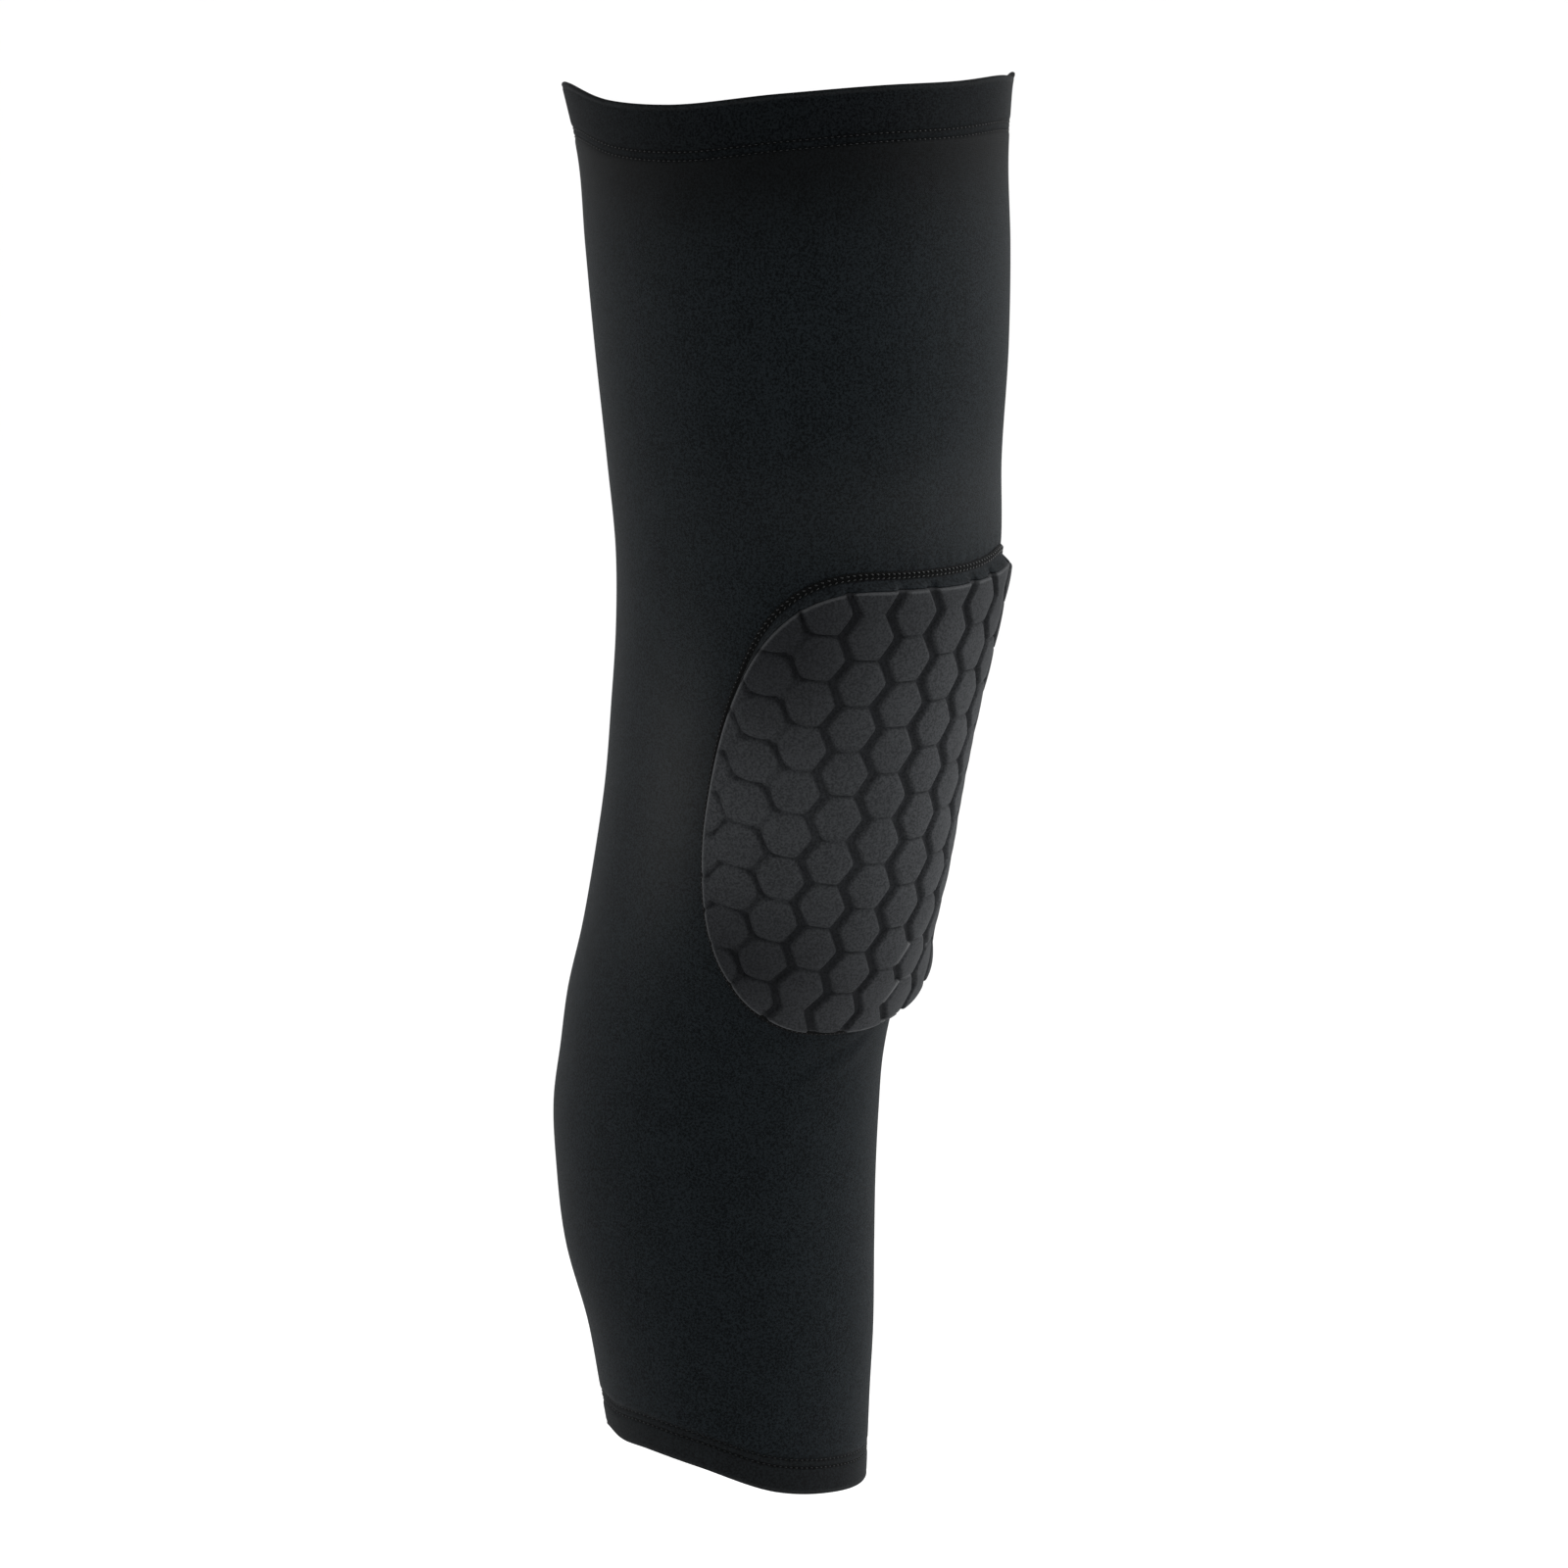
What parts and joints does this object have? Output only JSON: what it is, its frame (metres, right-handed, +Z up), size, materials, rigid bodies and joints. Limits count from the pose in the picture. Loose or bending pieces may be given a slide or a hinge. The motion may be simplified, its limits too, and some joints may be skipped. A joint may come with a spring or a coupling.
{
  "type": "padded knee sleeve",
  "caption": "Long knitted compression sleeve for the leg, open at thigh and calf, with a honeycomb foam pad sewn on the front of the knee.",
  "frame": {"origin": "middle of the knee inside the sleeve, where the leg that wears it holds it", "axes": "+Z up the leg to the thigh opening, -Y out of the front of the knee through the pad, +X across the knee"},
  "size_m": [0.1507, 0.1797, 0.5091],
  "materials": {
    "sleeve_knit": "black stretch knit, fine matt grain with a soft sheen at grazing angles",
    "hem_knit": "black stretch knit turned double, with two needle rows",
    "border_knit": "black stretch knit with a flat zigzag seam",
    "pad_cover": "charcoal knit moulded over closed-cell foam"
  },
  "bodies": {
    "root": {"sleeve": "sleeve_knit", "top_hem": "hem_knit", "bottom_hem": "hem_knit", "pad_border": "border_knit", "knee_pad": "pad_cover"}
  },
  "joints": []
}
